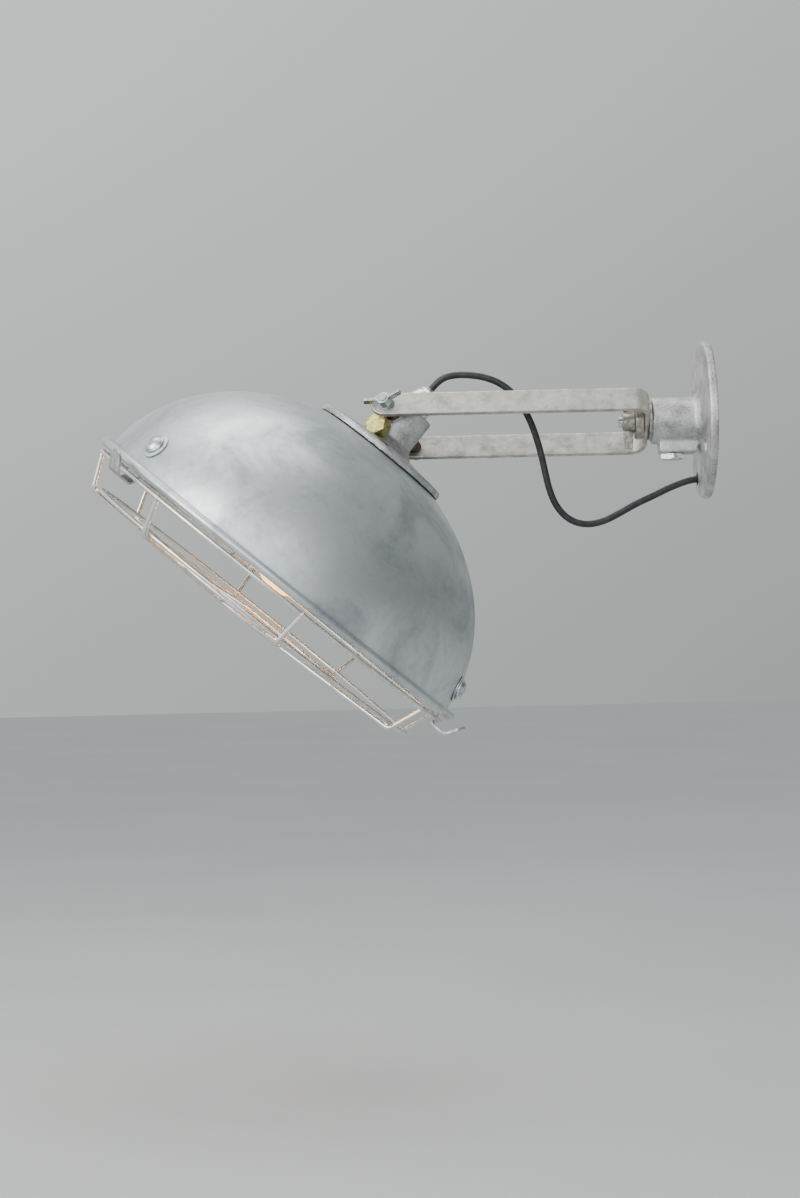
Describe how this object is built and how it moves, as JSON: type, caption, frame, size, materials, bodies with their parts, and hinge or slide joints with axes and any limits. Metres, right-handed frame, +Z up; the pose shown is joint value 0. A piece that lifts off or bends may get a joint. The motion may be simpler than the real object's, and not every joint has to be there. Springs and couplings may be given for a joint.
{
  "type": "wall lamp",
  "caption": "Industrial swing arm wall lamp with a spun dome shade, wire guard, forked flat-bar arm, cast flange and free cord.",
  "frame": {"origin": "centre of the wall flange's back face", "axes": "+X into the wall, +Z up; the arm reaches out along -X"},
  "size_m": [0.5843, 0.4338, 0.3693],
  "materials": {
    "cast_aluminium": "rough sand-cast, sparkly",
    "spun_aluminium": "satin spun, mottled grey patina",
    "turned_aluminium": "bright turned",
    "galvanised_steel": "hot-dip galvanised, soft spangle",
    "zinc_steel": "bright zinc plated",
    "dark_zinc": "dull weathered zinc",
    "yellow_zinc": "yellow passivated",
    "dark_steel": "dark oxidised",
    "spring_steel": "satin strip",
    "guard_wire": "bright zinc plated wire",
    "rubber": "matt black",
    "cord_rubber": "black rubber flex",
    "porcelain": "glazed white",
    "brass": "plain",
    "bulb_glass": "clear, warm",
    "filament": "glowing warm"
  },
  "bodies": {
    "wall": {"wall_flange": "cast_aluminium", "wall_set_screw": "zinc_steel", "cord_grommet": "rubber", "spigot_plug": "dark_steel", "arm_bolt": "zinc_steel", "friction_washer": "dark_steel", "cord_lower": "cord_rubber"},
    "arm": {"arm_fork": "galvanised_steel", "clamp_washer": "dark_steel", "pivot_bolt": "zinc_steel", "pivot_spacers": "dark_steel", "pivot_bevel_washers": "zinc_steel", "cord_upper": "cord_rubber"},
    "arm_nut": {"arm_wing_nut": "dark_zinc"},
    "pivot_nut": {"pivot_wing_nut": "zinc_steel"},
    "head": {"head_socket": "cast_aluminium", "head_set_screw": "yellow_zinc", "head_gasket": "rubber", "dome_shade": "spun_aluminium", "casting_screws": "zinc_steel", "casting_nuts": "zinc_steel", "nipple_tube": "brass", "nipple_locknut": "brass", "lampholder_body": "porcelain", "lampholder_shell": "brass", "lampholder_contact": "brass", "bulb_cap": "brass", "bulb_glass": "bulb_glass", "bulb_filament": "filament", "gland_body": "turned_aluminium", "gland_nut": "turned_aluminium", "guard_hooks": "spring_steel", "hook_screws": "zinc_steel", "hook_washers": "spun_aluminium", "hook_nuts": "zinc_steel", "guard_top_ring": "guard_wire", "guard_low_ring": "guard_wire", "guard_inner_ring": "guard_wire", "guard_centre_ring": "guard_wire", "guard_ribs": "guard_wire"}
  },
  "joints": [
    {"name": "arm_roll", "type": "hinge", "parent": "wall", "child": "arm", "pos_m": [-0.06, 0, 0], "axis": [1, 0, 0], "range_deg": [-60, 60], "deforming": ["cord_lower"]},
    {"name": "head_tilt", "type": "hinge", "parent": "arm", "child": "head", "pos_m": [-0.2932, 0, 0], "axis": [0.342, 0.8055, -0.484], "range_deg": [-25, 45], "deforming": ["cord_upper"]},
    {"name": "arm_nut_turn", "type": "hinge", "parent": "wall", "child": "arm_nut", "pos_m": [-0.076, 0, 0], "axis": [-1, 0, 0], "continuous": true},
    {"name": "pivot_nut_turn", "type": "hinge", "parent": "arm", "child": "pivot_nut", "pos_m": [-0.30962, -0.03866, 0.02323], "axis": [-0.342, -0.8055, 0.484], "continuous": true}
  ]
}
